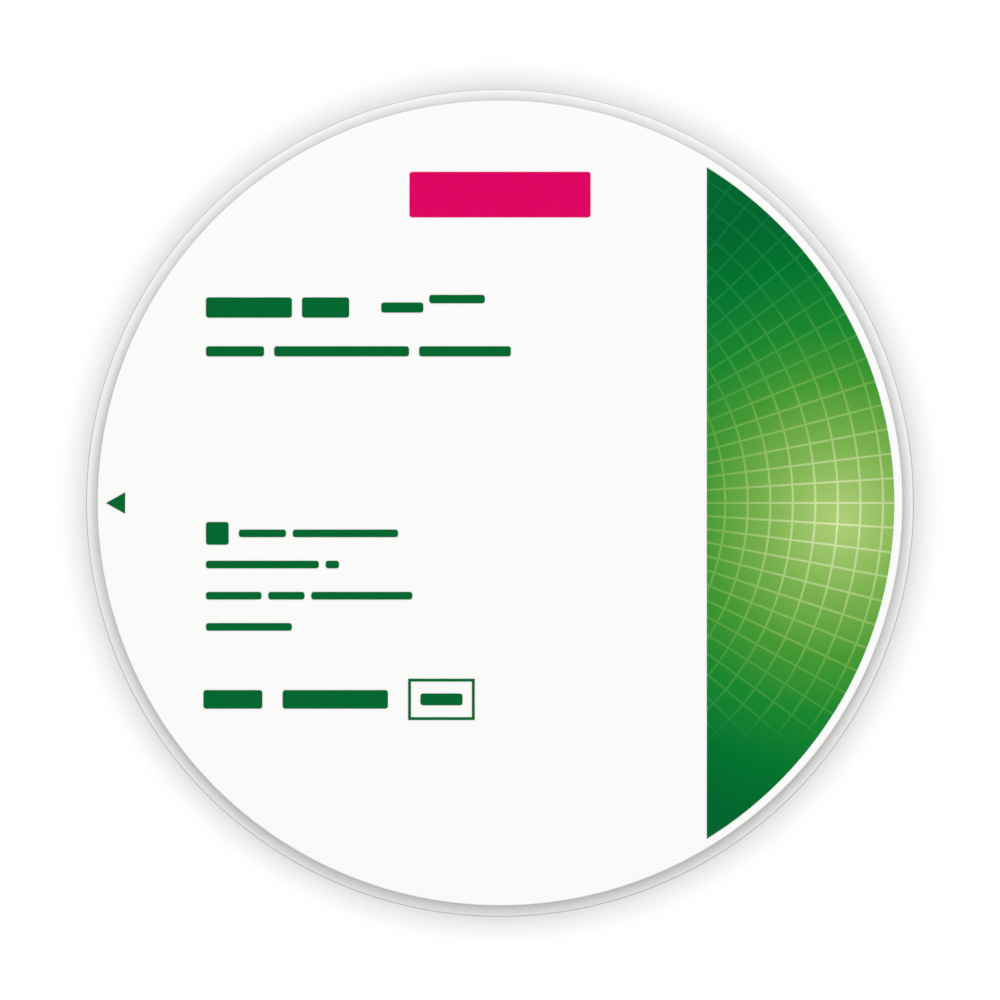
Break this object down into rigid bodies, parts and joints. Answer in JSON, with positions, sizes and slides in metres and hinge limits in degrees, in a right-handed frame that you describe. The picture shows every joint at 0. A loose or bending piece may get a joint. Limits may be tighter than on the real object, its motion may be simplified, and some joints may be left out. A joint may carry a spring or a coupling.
{
  "type": "dental milling disc",
  "caption": "Round white zirconia blank with a stepped clamping flange, printed face and a green field along one side.",
  "frame": {"origin": "centre of the disc's underside, which is the lowest point", "axes": "+Z along the disc's axis out of the printed face, +X towards the green field, +Y towards the top of the print"},
  "size_m": [0.0984, 0.0984, 0.0141],
  "materials": {
    "zirconia": "chalk-like, matt, pre-sintered",
    "green_ink": "satin printing ink",
    "field_ink": "satin printing ink, lighter towards the middle of the rim",
    "magenta_ink": "satin printing ink"
  },
  "bodies": {
    "root": {"disc_blank": "zirconia", "print_arrow": "green_ink", "print_banner": "magenta_ink", "print_box": "green_ink", "print_box_bar": "green_ink", "print_field": "field_ink", "print_footer_1": "green_ink", "print_footer_2": "green_ink", "print_grade_1": "green_ink", "print_heading_1": "green_ink", "print_heading_2": "green_ink", "print_note_1_1": "green_ink", "print_note_1_2": "green_ink", "print_note_2_1": "green_ink", "print_note_2_2": "green_ink", "print_note_3_1": "green_ink", "print_note_3_2": "green_ink", "print_note_3_3": "green_ink", "print_note_4_1": "green_ink", "print_note_block": "green_ink", "print_raised_1": "green_ink", "print_subheading_1": "green_ink", "print_subheading_2": "green_ink", "print_subheading_3": "green_ink"}
  },
  "joints": []
}
